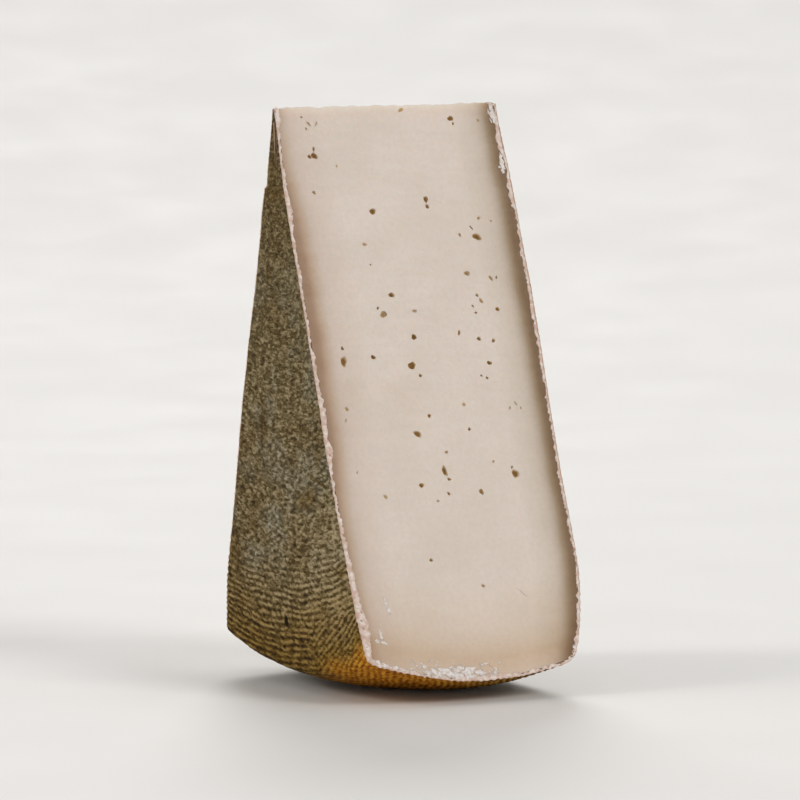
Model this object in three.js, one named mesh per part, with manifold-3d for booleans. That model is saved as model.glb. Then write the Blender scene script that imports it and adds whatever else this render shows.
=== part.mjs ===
// A wedge of raclette cheese, standing on its rind with the tip up.
// Millimetres, +Z up. X runs across the wheel that the wedge was cut from, from its left
// flat face to its right one, and the near cut looks towards -Y.
// The origin is on the ground, under the middle of the wedge's box.
import * as THREE from 'three';
import { mergeVertices } from 'three/addons/utils/BufferGeometryUtils.js';
import Module from 'manifold-3d';

// The wheel: radii are measured from its centre, and across from its left face
const RIM_RADIUS = 150;        // at the fullest line of the side
const WHEEL_HEIGHT = 66;       // from flat face to flat face
const CREST_ACROSS = 37;       // where the side is fullest
const SIDE_CURVE = 92;         // radius of the side's bulge, seen in section
const FLAT_REACH = 118;        // beyond this radius the faces round off towards the side
const LEFT_SHOULDER = 190;     // radius of that rounding on the left face
const RIGHT_SHOULDER = 78;     // and on the right face
const LEFT_CORNER = 1.5;       // how far the left edge's rounding reaches along each surface
const RIGHT_CORNER = 3.5;      // and the right edge's
const LEFT_HOLLOW = 0.7;       // the faces sink this much at the wheel's centre
const RIGHT_HOLLOW = 1.2;
const HOLLOW_REACH = 17;       // radius at which most of the hollow is gone
const MEETING_PASSES = 20;     // rounds in which a face and the side find where they meet

// The two cuts, which meet in the tip edge
const NEAR_CUT = 18.1;         // degrees from the vertical, seen from the tip
const FAR_CUT = 14.1;
const TIP_BEHIND = 4.2;        // the tip lies this far behind the wheel's centre

// How it stands
const LEAN = 1;                // degrees towards the left face
const FOOT_DEPTH = 0.5;        // the rind is pressed flat this deep under the wedge

// Unevenness of the rind
const FACE_WAVE = { height: 0.35, short: 11, long: 23, turns: 9, otherFace: 1 };
const SIDE_WAVE = { height: 0.45, short: 9, long: 17, turns: 14, fade: 8 };
const RAGGED = { height: 0.3, fast: 1.9, slow: 0.61 };   // small teeth along the cut rind
const RAGGED_FADE = 8;         // they die out this close to its corners
const LEDGE_DROP = 21;         // a step in the left face, this far below the tip
const LEDGE_DEPTH = 0.65;
const LEDGE_AT_TIP = 0.2;      // share of its depth that is left at the tip
const LEDGE_SLOPE = 0.4;       // half the height over which it steps
const LEDGE_FADE = 6;          // it fades out within this many degrees of the vertical

// Steps of the surface
const FACE_ROWS = 22;          // from the tip to the edge rounding
const RIM_COLUMNS = 12;        // across the side between its edge roundings
const SECTORS = 10;            // from the far cut to the near one
const CORNER_STEPS = 2;        // in each half of an edge rounding
const LEDGE_ROWS = 2;          // rows that the ledge adds
const WELD = 1e-4;             // points closer than this are one

// Eyes of the near cut: below the tip, across, radius, stretch, and turn of the long way in
// degrees, clockwise from straight across
const NEAR_EYES = [
  [12.4, 9.2, 1.1, 1.3, 80], [5.0, 10.2, 0.6, 1.8, 50], [4.4, 51.1, 0.9, 1.3, 0],
  [28.2, 24.0, 0.8, 1.1, 30], [26.2, 40.0, 0.6, 1.6, 75], [36.5, 52.9, 0.8, 1.6, 35],
  [45.9, 48.4, 0.7, 1.2, 0], [50.4, 25.4, 0.7, 1.1, 30], [52.4, 50.5, 0.6, 1.7, 50],
  [55.7, 22.3, 1.2, 1.1, 0], [61.8, 29.8, 0.8, 1.2, 10], [61.4, 42.8, 0.5, 2.0, 110],
  [66.7, 8.7, 0.9, 1.7, 90], [69.1, 28.0, 1.1, 1.1, 45], [69.7, 50.0, 0.7, 1.2, 20],
  [87.0, 26.3, 0.8, 1.3, 25], [97.1, 32.5, 0.8, 1.9, 80], [99.3, 52.7, 1.0, 1.4, 60],
  [103.0, 41.6, 0.8, 1.1, 0], [119.8, 24.1, 0.5, 1.1, 0],
];
// Eyes of the far cut are strewn by a seeded draw, most of them half-way down
const FAR_EYE_COUNT = 20;
const FAR_EYE_SEED = 11;
const FAR_EYE_DROP = { from: 0.05, spread: 0.4 };   // shares of the wheel's radius
const EYE_RADII = [0.5, 1.2];
const EYE_STRETCH = 0.8;       // the longest is this much longer than it is wide
const EYE_MARGIN = 7;          // none lies closer to the rind than this
const EYE_SINK = 0.25;         // share of its radius that an eye's middle lies inside the cut
// The tip edge has one small nick
const NICK = { across: 13.5, width: 2.4, depth: 0.6 };

const radians = THREE.MathUtils.degToRad;

// Seeded draw of numbers from 0 to 1: each state is the last one times a factor, less whole
// spans
const DRAW_FACTOR = 16807;
const DRAW_SPAN = 2147483647;
function drawFrom(seed) {
  let state = seed;
  return () => {
    state = (state * DRAW_FACTOR) % DRAW_SPAN;
    return state / DRAW_SPAN;
  };
}

// Radius of the side at a place across it
function sideRadius(across) {
  return RIM_RADIUS - (across - CREST_ACROSS) ** 2 / (2 * SIDE_CURVE);
}

// How far a flat face lies inside its plane at a radius: hollow in the middle, round outside
function faceInset(radius, hollow, shoulder) {
  const past = Math.max(0, radius - FLAT_REACH);
  return hollow * Math.exp(-((radius / HOLLOW_REACH) ** 2)) + past ** 2 / (2 * shoulder);
}

const leftAcross = (radius) => faceInset(radius, LEFT_HOLLOW, LEFT_SHOULDER);
const rightAcross = (radius) => WHEEL_HEIGHT - faceInset(radius, RIGHT_HOLLOW, RIGHT_SHOULDER);

// The edge rounding between a face and the side, as points { radius, across } from the face
// to the side: a curve that leaves the one and joins the other, half-way point in the middle
function edgeRounding(faceAcross, reach, inward) {
  let radius = RIM_RADIUS;
  for (let i = 0; i < MEETING_PASSES; i++) radius = sideRadius(faceAcross(radius));
  const across = faceAcross(radius);
  const ends = [[radius - reach, 0], [radius, across], [0, across + inward * reach]];
  ends[0][1] = faceAcross(ends[0][0]);
  ends[2][0] = sideRadius(ends[2][1]);
  const curve = new THREE.QuadraticBezierCurve(...ends.map((end) => new THREE.Vector2(...end)));
  return curve.getPoints(2 * CORNER_STEPS).map((p) => ({ radius: p.x, across: p.y }));
}

const leftEdge = edgeRounding(leftAcross, LEFT_CORNER, 1);
const rightEdge = edgeRounding(rightAcross, RIGHT_CORNER, -1);

// The side from the middle of the left rounding to the middle of the right one
function sideLine() {
  const from = leftEdge[2 * CORNER_STEPS].across;
  const to = rightEdge[2 * CORNER_STEPS].across;
  const line = leftEdge.slice(CORNER_STEPS, -1);
  for (let j = 0; j <= RIM_COLUMNS; j++) {
    const across = from + ((to - from) * j) / RIM_COLUMNS;
    line.push({ radius: sideRadius(across), across });
  }
  return line.concat(rightEdge.slice(CORNER_STEPS, -1).reverse());
}

const side = sideLine();
const columns = side.length - 1;
const rows = FACE_ROWS + LEDGE_ROWS + CORNER_STEPS;

// Distance from the tip, in a direction, to a radius of the wheel
function reachFromTip(direction, radius) {
  const offset = TIP_BEHIND * Math.sin(direction);
  return offset + Math.sqrt(offset ** 2 - TIP_BEHIND ** 2 + radius ** 2);
}

// Radius of the wheel at a distance from the tip, in a direction
function radiusFromTip(direction, distance) {
  return Math.hypot(distance * Math.sin(direction) - TIP_BEHIND, distance * Math.cos(direction));
}

// A face's row as { radius, across }: even steps below the tip with the rows of the ledge
// between them, then the first half of the edge rounding
function facePoint(row, direction, faceAcross, edge) {
  const roundingRow = row - FACE_ROWS - LEDGE_ROWS;
  if (roundingRow >= 0) return { ...edge[roundingRow] };
  const ledgeRow = 1 + Math.floor((LEDGE_DROP / (RIM_RADIUS - RIGHT_CORNER)) * FACE_ROWS);
  const end = reachFromTip(direction, edge[0].radius);
  let distance = (end * (row > ledgeRow ? row - LEDGE_ROWS : row)) / FACE_ROWS;
  if (row === ledgeRow) distance = LEDGE_DROP - LEDGE_SLOPE;
  if (row === ledgeRow + 1) distance = LEDGE_DROP + LEDGE_SLOPE;
  const radius = radiusFromTip(direction, distance);
  return { radius, across: faceAcross(radius), distance };
}

// Slow unevenness of a face, and of the side, where it fades out away from the rim: the mean
// of a short wave and a long one that run aslant to each other
function faceWave(radius, direction) {
  const turn = direction * FACE_WAVE.turns;
  const short = Math.sin(radius / FACE_WAVE.short + turn);
  const long = Math.sin(radius / FACE_WAVE.long - 2 * turn + 2);
  return FACE_WAVE.height * (short + long) / 2;
}
function sideWave(across, direction, radius) {
  const turn = direction * SIDE_WAVE.turns;
  const fade = (radius / RIM_RADIUS) ** SIDE_WAVE.fade;
  const short = Math.sin(across / SIDE_WAVE.short + turn);
  const long = Math.sin(across / SIDE_WAVE.long - turn + 1);
  return fade * SIDE_WAVE.height * (short + long) / 2;
}

// Small teeth along a cut edge of some length, which die out before its two ends
function ragged(place, length, direction) {
  const atCut = direction >= radians(NEAR_CUT) || direction <= -radians(FAR_CUT);
  const fade = THREE.MathUtils.clamp(Math.min(place, length - place) / RAGGED_FADE, 0, 1);
  const teeth = Math.sin(place * RAGGED.fast) * Math.sin(place * RAGGED.slow + 1);
  return atCut ? fade * RAGGED.height * teeth : 0;
}

// The ledge is gone before the near cut, and above its step it grows shallow towards the tip
// by the square of the distance
function ledge(distance, direction) {
  const fade = THREE.MathUtils.smoothstep(-direction, -radians(LEDGE_FADE), radians(LEDGE_FADE));
  const share = THREE.MathUtils.lerp(LEDGE_AT_TIP, 1, (distance / LEDGE_DROP) ** 2);
  return distance < LEDGE_DROP ? LEDGE_DEPTH * share * fade : 0;
}

// A point of the wheel, in a direction from the tip, as the wedge stands before it leans
function stand({ radius, across }, direction) {
  const reach = radius > TIP_BEHIND ? reachFromTip(direction, radius) : 0;
  const forward = reach * Math.sin(direction) - TIP_BEHIND;
  return new THREE.Vector3(across, -forward, RIM_RADIUS - reach * Math.cos(direction));
}

function leftPoint(row, direction) {
  const point = facePoint(row, direction, leftAcross, leftEdge);
  point.across += faceWave(point.radius, direction);
  point.across += ragged(point.radius, leftEdge[0].radius, direction);
  if (point.distance !== undefined) point.across += ledge(point.distance, direction);
  point.radius += sideWave(point.across, direction, point.radius);
  return stand(row === 0 ? { radius: 0, across: leftAcross(TIP_BEHIND) } : point, direction);
}

function rightPoint(row, direction) {
  const point = facePoint(row, direction, rightAcross, rightEdge);
  point.across -= faceWave(point.radius, direction + FACE_WAVE.otherFace);
  point.across -= ragged(point.radius, rightEdge[0].radius, direction);
  point.radius += sideWave(point.across, direction, point.radius);
  return stand(row === 0 ? { radius: 0, across: rightAcross(TIP_BEHIND) } : point, direction);
}

// A point of the side: its two ends are the last rows of the faces
function sidePoint(column, direction) {
  if (column === 0) return leftPoint(rows, direction);
  if (column === columns) return rightPoint(rows, direction);
  const { radius, across } = side[column];
  const swell = sideWave(across, direction, radius) + ragged(across, WHEEL_HEIGHT, direction);
  return stand({ radius: radius + swell, across }, direction);
}

// A point of a cut: the last row is the side, and the others run straight across
function cutPoint(row, column, direction) {
  if (row === rows) return sidePoint(column, direction);
  if (column === 0) return leftPoint(row, direction);
  if (column === columns) return rightPoint(row, direction);
  const share = (side[column].across - side[0].across) / (side[columns].across - side[0].across);
  return leftPoint(row, direction).lerp(rightPoint(row, direction), share);
}

// Two triangles for each cell of a sheet of points
function sheet(across, along, point) {
  const triangles = [];
  for (let i = 0; i < across; i++) {
    for (let j = 0; j < along; j++) {
      const [a, b, c, d] = [point(i, j), point(i + 1, j), point(i + 1, j + 1), point(i, j + 1)];
      triangles.push([a, b, c], [a, c, d]);
    }
  }
  return triangles;
}

// The whole wedge: five sheets that share their borders, less the cells that shrink to nothing
function wedgeGeometry() {
  const direction = (k) => THREE.MathUtils.lerp(-radians(FAR_CUT), radians(NEAR_CUT), k / SECTORS);
  const triangles = [
    sheet(columns, rows, (j, i) => cutPoint(rows - i, j, direction(SECTORS))),
    sheet(rows, columns, (i, j) => cutPoint(rows - i, j, direction(0))),
    sheet(SECTORS, rows, (k, i) => leftPoint(rows - i, direction(k))),
    sheet(rows, SECTORS, (i, k) => rightPoint(rows - i, direction(k))),
    sheet(columns, SECTORS, (j, k) => sidePoint(j, direction(k))),
  ].flat();
  const corners = triangles.flatMap((t) => t.flatMap((p) => p.toArray()));
  return new THREE.BufferGeometry().setAttribute('position', new THREE.Float32BufferAttribute(corners, 3));
}

const wasm = await Module();
wasm.setup();

// A three.js geometry as a solid that can be cut
function toSolid(geometry) {
  const bare = geometry.clone();
  bare.deleteAttribute('normal');
  bare.deleteAttribute('uv');
  const welded = mergeVertices(bare, WELD);
  const index = Array.from(welded.index.array);
  const kept = [];
  for (let i = 0; i < index.length; i += 3) {
    const [a, b, c] = index.slice(i, i + 3);
    if (a !== b && b !== c && c !== a) kept.push(a, b, c);
  }
  return new wasm.Manifold(new wasm.Mesh({
    numProp: 3,
    vertProperties: new Float32Array(welded.attributes.position.array),
    triVerts: new Uint32Array(kept),
  }));
}

// A cut solid as a three.js geometry
function toGeometry(solid) {
  const mesh = solid.getMesh();
  const geometry = new THREE.BufferGeometry();
  geometry.setAttribute('position', new THREE.Float32BufferAttribute(mesh.vertProperties, 3));
  geometry.setIndex(Array.from(mesh.triVerts));
  return geometry;
}

// One eye: a lump that reaches through a cut, stretched along it and turned in it
function eyeSolid([drop, across, radius, stretch, turn], direction) {
  const lump = new THREE.IcosahedronGeometry(radius, 1);
  lump.scale(stretch, 1, 1);
  lump.rotateY(radians(turn));
  lump.rotateX(-direction);
  const inward = new THREE.Vector3(0, Math.cos(direction), -Math.sin(direction));
  if (direction < 0) inward.negate();
  const middle = new THREE.Vector3(
    across,
    TIP_BEHIND - drop * Math.sin(direction),
    RIM_RADIUS - drop * Math.cos(direction),
  ).addScaledVector(inward, EYE_SINK * radius);
  lump.translate(middle.x, middle.y, middle.z);
  return toSolid(lump);
}

// Eyes of the far cut
function farEyes() {
  const draw = drawFrom(FAR_EYE_SEED);
  const eyes = [];
  for (let i = 0; i < FAR_EYE_COUNT; i++) {
    const share = FAR_EYE_DROP.from + FAR_EYE_DROP.spread * draw() + FAR_EYE_DROP.spread * draw();
    const drop = RIM_RADIUS * share;
    const across = EYE_MARGIN + (WHEEL_HEIGHT - 2 * EYE_MARGIN) * draw();
    const radius = THREE.MathUtils.lerp(...EYE_RADII, draw() ** 2);
    eyes.push([drop, across, radius, 1 + EYE_STRETCH * draw(), 180 * draw()]);
  }
  return eyes;
}

// The nick: a lump that bites into the tip edge
function nickSolid() {
  const lump = new THREE.IcosahedronGeometry(1, 1);
  lump.scale(NICK.width / 2, NICK.width, NICK.depth);
  lump.translate(NICK.across, TIP_BEHIND, RIM_RADIUS);
  return toSolid(lump);
}

function cheese() {
  let solid = toSolid(wedgeGeometry());
  for (const eye of NEAR_EYES) solid = solid.subtract(eyeSolid(eye, radians(NEAR_CUT)));
  for (const eye of farEyes()) solid = solid.subtract(eyeSolid(eye, -radians(FAR_CUT)));
  solid = solid.subtract(nickSolid());

  // Lean the wedge, then press its foot flat
  const leaning = toGeometry(solid).rotateY(-radians(LEAN));
  leaning.computeBoundingBox();
  const ground = leaning.boundingBox.min.z + FOOT_DEPTH;
  const below = new THREE.BoxGeometry(2 * WHEEL_HEIGHT, RIM_RADIUS, RIM_RADIUS);
  below.translate(WHEEL_HEIGHT / 2, 0, ground - RIM_RADIUS / 2);
  const geometry = toGeometry(toSolid(leaning).subtract(toSolid(below)));

  // Put the origin under the middle of the box
  geometry.computeBoundingBox();
  const middle = geometry.boundingBox.getCenter(new THREE.Vector3());
  geometry.translate(-middle.x, -middle.y, -geometry.boundingBox.min.z);
  return geometry;
}

const pasteAndRind = new THREE.MeshStandardMaterial({ color: 0xd7c6b2, roughness: 0.55, metalness: 0 });
const wedge = new THREE.Mesh(cheese(), pasteAndRind);
wedge.name = 'cheese_wedge';

const group = new THREE.Group();
group.add(wedge);

export default group;
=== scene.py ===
import math

import bmesh
import bpy
import numpy as np
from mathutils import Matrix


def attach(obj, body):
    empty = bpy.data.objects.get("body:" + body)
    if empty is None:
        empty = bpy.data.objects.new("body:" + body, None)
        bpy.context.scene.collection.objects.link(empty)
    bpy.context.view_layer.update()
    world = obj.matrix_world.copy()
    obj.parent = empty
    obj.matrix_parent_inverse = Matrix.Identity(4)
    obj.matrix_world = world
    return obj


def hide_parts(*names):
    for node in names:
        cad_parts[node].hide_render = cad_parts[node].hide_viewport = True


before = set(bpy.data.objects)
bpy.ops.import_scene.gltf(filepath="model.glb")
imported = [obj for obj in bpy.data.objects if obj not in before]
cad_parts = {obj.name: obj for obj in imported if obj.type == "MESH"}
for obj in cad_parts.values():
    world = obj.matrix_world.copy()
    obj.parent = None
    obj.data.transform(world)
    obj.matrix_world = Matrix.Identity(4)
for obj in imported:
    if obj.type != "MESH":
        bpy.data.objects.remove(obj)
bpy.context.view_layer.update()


# The rind
# The wheel ripened in canvas, and its dry crust kept the print of the threads: plain ribs
# towards the side, and above them a grain like worms. Cutting the wheel left three strips
# of it on the wedge, one from each flat face and one from the side.

# Lengths here and below are millimetres, and make_piece turns them into metres.
RIM_RADIUS = 150.0        # of the wheel, at the fullest line of its side
WHEEL_HEIGHT = 66.0       # from flat face to flat face
CREST_ACROSS = 37.0       # where the side is fullest, from the left face
SIDE_CURVE = 92.0         # radius of its bulge from face to face
FLAT_REACH = 118.0        # beyond this radius the faces round off
LEFT_SHOULDER, RIGHT_SHOULDER = 190.0, 78.0   # radius of that rounding where it starts
LEFT_CORNER, RIGHT_CORNER = 1.5, 3.5          # reach of the tight rounding into the side
LEFT_STEPS, RIGHT_STEPS = 9, 17               # rows of points along it
LEFT_HOLLOW, RIGHT_HOLLOW, HOLLOW_REACH = 0.7, 1.2, 17.0
FACE_WAVE, SIDE_WAVE = 0.35, 0.45             # heights of the waves in the faces and the side
OTHER_FACE = 1.0          # the right face has the left one's waves, turned by this
SIDE_POWER = 8            # what bends with the side fades away from it by this power
NEAR_CUT, FAR_CUT = math.radians(18.1), math.radians(14.1)
TIP_BEHIND = 4.2          # the tip lies this far behind the wheel's centre
LEAN = math.radians(1.0)
STANDS_AT = np.array([31.6097, -1.1128, 1.2220])   # the wedge's origin in the leaned wheel
LEDGE_DROP, LEDGE_DEPTH, LEDGE_EDGE = 21.0, 0.65, 0.4   # below the tip, into the face, half its slope
LEDGE_AT_TIP = 0.2        # share of that depth left at the tip
LEDGE_TURN = math.radians(6)   # it dies away within this of straight down
THREAD = 1.62             # from rib to rib of the canvas
LEVEL_CLIMB, STEEP_CLIMB = 1, 24   # degrees that the ribs climb towards the near cut
PRINT_DEPTH, LUMP_DEPTH, PIT_DEPTH, PIT_LUMP = 0.13, 0.16, 0.5, 0.2
RIND_DEPTH = 0.9          # of a strip at its border, and half as much again at its middle


def side_radius(across):
    """Radius of the side: full at the crest, less by the square of the distance from it."""
    return RIM_RADIUS - (across - CREST_ACROSS) ** 2 / (2 * SIDE_CURVE)


def face_inset(radius, hollow, shoulder):
    """How far a flat face lies inside its plane: a bell-shaped hollow at the wheel's centre,
    and beyond the flat part a fall by the square of the distance."""
    past = np.maximum(0, radius - FLAT_REACH)
    return hollow * np.exp(-((radius / HOLLOW_REACH) ** 2)) + past ** 2 / (2 * shoulder)


def left_across(radius):
    """Place across the wheel of its left face, at a radius."""
    return face_inset(radius, LEFT_HOLLOW, LEFT_SHOULDER)


def right_across(radius):
    """Place across the wheel of its right face, at a radius."""
    return WHEEL_HEIGHT - face_inset(radius, RIGHT_HOLLOW, RIGHT_SHOULDER)


def edge_rounding(face_across, reach, inward, steps):
    """Radius and place across along the rounding between a face and the side: a parabola
    that leaves the face and joins the side, each at some reach from where they would meet."""
    radius, rounds_until_settled = RIM_RADIUS, 20
    for _ in range(rounds_until_settled):
        radius = side_radius(face_across(radius))
    across = face_across(radius)
    ends = np.array([
        [radius - reach, face_across(radius - reach)],
        [radius, across],
        [side_radius(across + inward * reach), across + inward * reach],
    ])
    t = np.linspace(0, 1, steps)[:, None]
    return ((1 - t) ** 2 * ends[0] + 2 * t * (1 - t) * ends[1] + t ** 2 * ends[2]).T


def reach_from_tip(direction, radius):
    """Distance from the tip edge to a radius of the wheel: the far root of the circle."""
    offset = TIP_BEHIND * np.sin(direction)
    return offset + np.sqrt(offset ** 2 - TIP_BEHIND ** 2 + radius ** 2)


def stand(reach, direction, across):
    """Place in the wedge's own frame: polar about the tip edge, then leaned to the left."""
    back = TIP_BEHIND - reach * np.sin(direction)
    up = RIM_RADIUS - reach * np.cos(direction)
    x = across * math.cos(LEAN) - up * math.sin(LEAN)
    z = across * math.sin(LEAN) + up * math.cos(LEAN)
    return np.stack(np.broadcast_arrays(x, back, z), axis=-1) - STANDS_AT


def rise(value, low, high):
    """0 below low, 1 above high, and the smooth step 3t^2 - 2t^3 between them."""
    t = np.clip((value - low) / (high - low), 0, 1)
    return t * t * (3 - 2 * t)


def fall(value, low, high):
    """1 below low, 0 above high, and the same smooth step down between them."""
    return rise(-value, -high, -low)


def mottle(along, down, size, seed):
    """Soft random patches of some size, from 0 to 1: random numbers on a square lattice,
    blended between its corners by the smooth step."""
    lattice = 256
    numbers = np.random.default_rng(seed).random((lattice, lattice))
    i, j = np.floor(along / size).astype(int), np.floor(down / size).astype(int)
    u, v = rise(along / size - i, 0, 1), rise(down / size - j, 0, 1)
    i, j, i1, j1 = i % lattice, j % lattice, (i + 1) % lattice, (j + 1) % lattice
    near = numbers[i, j] * (1 - u) + numbers[i1, j] * u
    far = numbers[i, j1] * (1 - u) + numbers[i1, j1] * u
    return near * (1 - v) + far * v


def uneven(swing, along, down, size, seed):
    """The same patches about nought: from minus half of a swing to plus half of it."""
    return swing * (mottle(along, down, size, seed) - 0.5)


def worms(along, down, size, seed):
    """Grain like worms, about -1 to 1: the sum of waves of nearly one length in random
    directions, over the root of their number."""
    waves = 22
    shortest, longest = 0.8 * size, 1.3 * size
    draw = np.random.default_rng(seed)
    total = np.zeros(np.broadcast(along, down).shape)
    for turn, phase, length in zip(*draw.uniform(
            [[0], [0], [shortest]], [[math.pi], [2 * math.pi], [longest]], (3, waves))):
        total += np.cos((along * math.cos(turn) + down * math.sin(turn)) * 2 * math.pi / length + phase)
    return total / math.sqrt(waves)


def unit(arrows):
    """Arrows over their own lengths."""
    return arrows / np.linalg.norm(arrows, axis=-1, keepdims=True)


def surface_normals(points):
    """Unit normals of a grid of points: the cross product of its two slopes."""
    return unit(np.cross(np.gradient(points, axis=1), np.gradient(points, axis=0)))


def grid_cells(rows, columns, first=0):
    """Corner numbers of the cells of a grid whose points are numbered row by row."""
    corner = first + np.arange(rows * columns).reshape(rows, columns)
    ring = [corner[:-1, :-1], corner[:-1, 1:], corner[1:, 1:], corner[1:, :-1]]
    return np.stack(ring, axis=-1).reshape(-1, 4)


def make_piece(name, points, cells, material, slot, **marks):
    """A piece from points in millimetres, blocks of cells, and one number a point to each
    mark. It rides on the wedge and stands for the CAD solid."""
    mesh = bpy.data.meshes.new(name)
    sizes = np.concatenate([np.full(len(block), block.shape[1]) for block in cells])
    points = points.reshape(-1, 3)
    mesh.vertices.add(len(points))
    mesh.vertices.foreach_set("co", (points / 1000).astype(np.float32).ravel())
    mesh.loops.add(int(sizes.sum()))
    mesh.polygons.add(len(sizes))
    mesh.polygons.foreach_set("loop_start", np.cumsum(sizes) - sizes)
    mesh.polygons.foreach_set("vertices", np.concatenate([block.ravel() for block in cells]))
    mesh.polygons.foreach_set("use_smooth", np.ones(len(sizes), dtype=bool))
    for mark, values in marks.items():
        stored = mesh.attributes.new(mark, "FLOAT", "POINT")
        stored.data.foreach_set("value", np.ravel(values).astype(np.float32))
    mesh.update(calc_edges=True)
    mesh.materials.append(material)
    piece = bpy.data.objects.new(name, mesh)
    bpy.context.scene.collection.objects.link(piece)
    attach(piece, "root")
    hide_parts("cheese_wedge")
    return piece


def seen(red, green, blue):
    """A colour as the eye reads it, 0 to 255, in the straight measure that light adds in."""
    part = np.array([red, green, blue]) / 255
    straight = np.where(part <= 0.04045, part / 12.92, ((part + 0.055) / 1.055) ** 2.4)
    return (*straight, 1.0)


def add_node(material, kind, *inputs, **settings):
    """A node of a material, with its settings, and its inputs in order: each is a value, an
    output of another node, or None to leave it. Inputs by name or number come in a dict."""
    node = material.node_tree.nodes.new("ShaderNode" + kind)
    for key, value in settings.items():
        setattr(node, key, value)
    named = dict(enumerate(inputs))
    for key in [key for key, value in named.items() if isinstance(value, dict)]:
        named.update(named.pop(key))
    for key, value in named.items():
        if isinstance(value, bpy.types.NodeSocket):
            material.node_tree.links.new(value, node.inputs[key])
        elif value is not None:
            node.inputs[key].default_value = value
    return node


def maths(material, operation, *inputs, clamp=False):
    """The output of a sum on one to three numbers."""
    return add_node(material, "Math", *inputs, operation=operation, use_clamp=clamp).outputs[0]


def blend(material, share, below, above, kind="MIX"):
    """One colour laid over another by a share. Of the node's sockets, 6, 7 and the output 2
    are those for colours."""
    return add_node(material, "Mix", {0: share, 6: below, 7: above},
                    data_type="RGBA", blend_type=kind).outputs[2]


def shades(material, value, *stops, over=(255, 255, 255)):
    """A colour that changes along a number from 0 to 1: each stop is a place and a shade,
    which is given as a share of another shade, or of white."""
    ramp = add_node(material, "ValToRGB", value)
    for _ in stops[2:]:
        ramp.color_ramp.elements.new(0.5)
    for element, (at, shade) in zip(ramp.color_ramp.elements, stops):
        element.position = at
        element.color = [part / whole for part, whole in zip(seen(*shade), seen(*over))]
    return ramp.outputs[0]


def remap(material, value, low, high, to_low=0.0, to_high=1.0):
    """A number moved from one range to another along the smooth step."""
    return add_node(material, "MapRange", value, low, high, to_low, to_high,
                    interpolation_type="SMOOTHSTEP").outputs[0]


def patches(material, size, detail=3.0, stretch=(1, 1, 1), distortion=0.0):
    """Random patches, 0 to 1, of a size in millimetres, fixed to the piece."""
    place = add_node(material, "TexCoord").outputs["Object"]
    mapped = add_node(material, "Mapping", place, {"Scale": stretch}).outputs[0]
    return add_node(material, "TexNoise", {"Vector": mapped, "Scale": 1000 / size, "Detail": detail,
                                           "Distortion": distortion}).outputs[0]


def new_finish(name):
    """An empty material and its shader."""
    material = bpy.data.materials.new(name)
    material.use_nodes = True
    return material, material.node_tree.nodes["Principled BSDF"]


def set_finish(material, shader, colour, roughness, height=None, depth=0.0):
    """Joins colour, roughness and a height, whose full swing is depth in metres, to a shader."""
    links = material.node_tree.links
    links.new(colour, shader.inputs["Base Color"])
    links.new(roughness, shader.inputs["Roughness"])
    if height is not None:
        bump = add_node(material, "Bump", {"Strength": 1.0, "Distance": depth, "Height": height})
        links.new(bump.outputs[0], shader.inputs["Normal"])


def ledge_step(reach, direction):
    """The broken step in the left face: nothing below it or at the near cut, and above it
    more and more the nearer to it, by the square of the reach."""
    above = fall(reach, LEDGE_DROP - LEDGE_EDGE, LEDGE_DROP + LEDGE_EDGE)
    above = above * (LEDGE_AT_TIP + (1 - LEDGE_AT_TIP) * (reach / LEDGE_DROP) ** 2)
    return LEDGE_DEPTH * above * fall(direction, -LEDGE_TURN, LEDGE_TURN)


def face_waves(radius, direction):
    """Faint waves of a flat face, -1 to 1: half the sum of two sines of radius and direction."""
    return (np.sin(radius / 11 + 9 * direction) + np.sin(radius / 23 - 18 * direction + 2)) / 2


def side_waves(across, direction):
    """Faint waves of the side, -1 to 1: half the sum of two sines of place and direction."""
    return (np.sin(across / 9 + 14 * direction) + np.sin(across / 17 - 14 * direction + 1)) / 2


# Rows run down the left face, round its edge, across the side, round the right edge and up
# the right face. Columns run from the far cut to the near one.
FACE_ROWS, SIDE_ROWS, SPREAD = 385, 140, 230
direction = np.linspace(-FAR_CUT, NEAR_CUT, SPREAD)[None, :]
left_edge = edge_rounding(left_across, LEFT_CORNER, 1, LEFT_STEPS)
right_edge = edge_rounding(right_across, RIGHT_CORNER, -1, RIGHT_STEPS)[:, ::-1]
side_across = np.linspace(left_edge[1][-1], right_edge[1][0], SIDE_ROWS)[1:-1]
edge_radius = np.concatenate([left_edge[0], side_radius(side_across), right_edge[0]])[:, None]
edge_across = np.concatenate([left_edge[1], side_across, right_edge[1]])[:, None]
edge_run = np.hypot(np.diff(edge_radius, axis=0), np.diff(edge_across, axis=0)).cumsum(axis=0)
edge_run = np.concatenate([[[0.0]], edge_run])

share = np.linspace(0.0, 1.0, FACE_ROWS)[1:-1, None]
left_end = reach_from_tip(direction, left_edge[0][0])
right_end = reach_from_tip(direction, right_edge[0][-1])
reach = np.concatenate([
    share * left_end,
    reach_from_tip(direction, edge_radius),
    share[::-1] * right_end,
])
radius = np.hypot(reach * np.sin(direction) - TIP_BEHIND, reach * np.cos(direction))
left_rows, right_first = len(share), len(share) + len(edge_across)
across = np.concatenate([
    left_across(radius[:left_rows]),
    np.repeat(edge_across, SPREAD, axis=1),
    right_across(radius[right_first:]),
])
run = np.concatenate([
    reach[:left_rows],
    left_end + edge_run,
    left_end + edge_run[-1] + right_end - reach[right_first:],
])

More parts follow.
